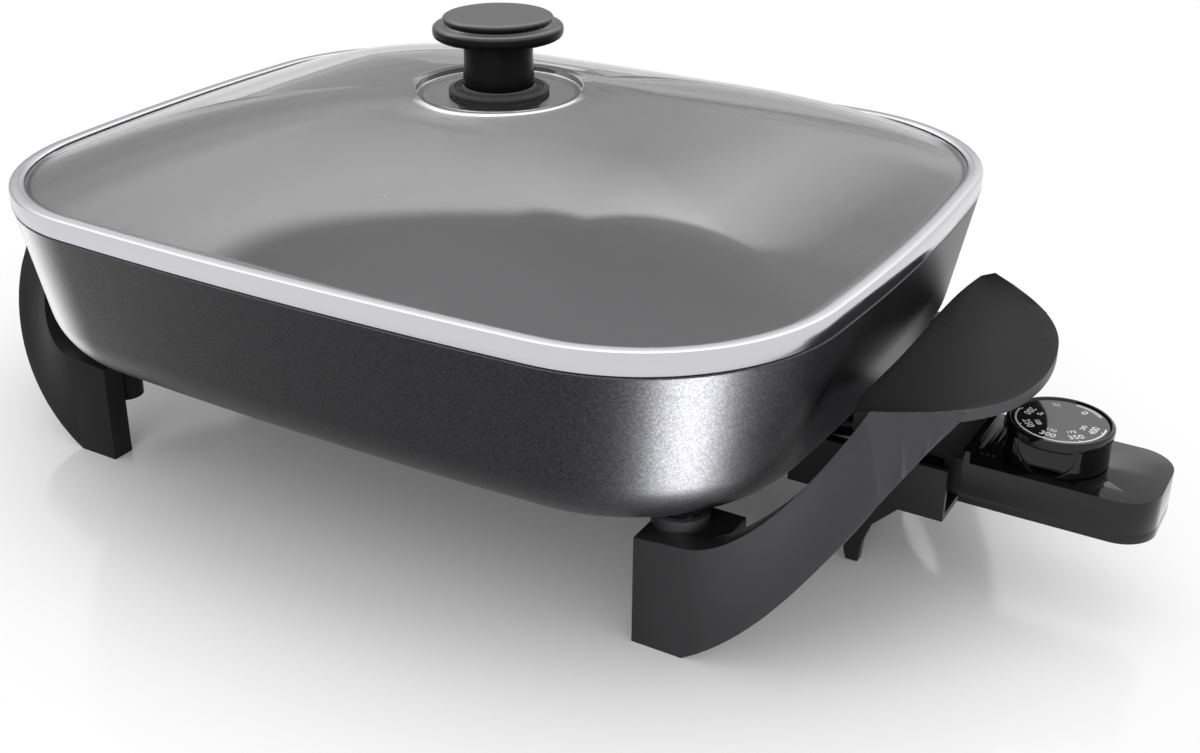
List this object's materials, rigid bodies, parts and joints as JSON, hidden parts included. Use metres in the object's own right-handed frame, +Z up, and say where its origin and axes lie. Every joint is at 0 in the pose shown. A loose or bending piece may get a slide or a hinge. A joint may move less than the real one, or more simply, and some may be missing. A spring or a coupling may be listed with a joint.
{
  "type": "electric skillet",
  "caption": "Rectangular electric skillet: tapered non-stick pan on two footed handles, lift-off domed glass lid and plug-in temperature control with a dial.",
  "frame": {"origin": "on the table surface, under the middle of the pan", "axes": "+X along the pan towards the temperature control, +Y to the far side, +Z up"},
  "size_m": [0.5587, 0.3256, 0.2032],
  "materials": {
    "pan_enamel": "dark metallic paint with fine sparkle outside, non-stick inside",
    "handle_phenolic": "satin black phenolic",
    "guard_phenolic": "satin black phenolic",
    "knob_phenolic": "satin-gloss black phenolic",
    "case_gloss": "high-gloss black",
    "dial_gloss": "gloss black",
    "dial_face": "gloss black with a printed white scale",
    "band_steel": "polished",
    "lid_glass": "clear tempered, slight grey tint",
    "seal_rubber": "matt",
    "screw_steel": "zinc plated",
    "pin_steel": "bright",
    "sheath_steel": "dull",
    "ceramic_bush": "unglazed",
    "insert_brass": "turned",
    "probe_aluminium": "drawn"
  },
  "bodies": {
    "skillet": {"pan": "pan_enamel", "element_pins": "pin_steel", "pin_bushes": "ceramic_bush", "heating_element": "sheath_steel", "right_handle": "handle_phenolic", "left_handle": "handle_phenolic", "handle_screws": "screw_steel", "handle_washers": "screw_steel", "terminal_guard": "guard_phenolic", "guard_screws": "screw_steel"},
    "lid": {"lid_glass": "lid_glass", "lid_rim": "band_steel", "knob_seat": "seal_rubber", "lid_knob": "knob_phenolic", "knob_insert": "insert_brass", "knob_washer": "seal_rubber", "knob_screw": "screw_steel"},
    "control": {"control_base": "case_gloss", "control_cover": "case_gloss", "control_screws": "screw_steel", "cord_gland": "guard_phenolic", "insulator_block": "guard_phenolic", "contact_sleeves": "insert_brass", "probe_rod": "probe_aluminium", "thermostat_frame": "pin_steel", "blade_stack": "ceramic_bush", "bimetal_blade": "pin_steel", "contact_springs": "insert_brass", "terminal_block": "guard_phenolic"},
    "dial": {"dial_knob": "dial_gloss", "dial_cap": "dial_face", "dial_shaft": "guard_phenolic", "dial_cam": "guard_phenolic"}
  },
  "joints": [
    {"name": "lid_lift", "type": "slide", "parent": "skillet", "child": "lid", "axis": [0, 0, 1], "range_m": [0, 0.15]},
    {"name": "control_pull", "type": "slide", "parent": "skillet", "child": "control", "axis": [1, 0, 0], "range_m": [0, 0.12]},
    {"name": "dial_turn", "type": "hinge", "parent": "control", "child": "dial", "pos_m": [0.2615, 0, 0.058], "axis": [0, 0, 1], "range_deg": [-270, 0]}
  ]
}
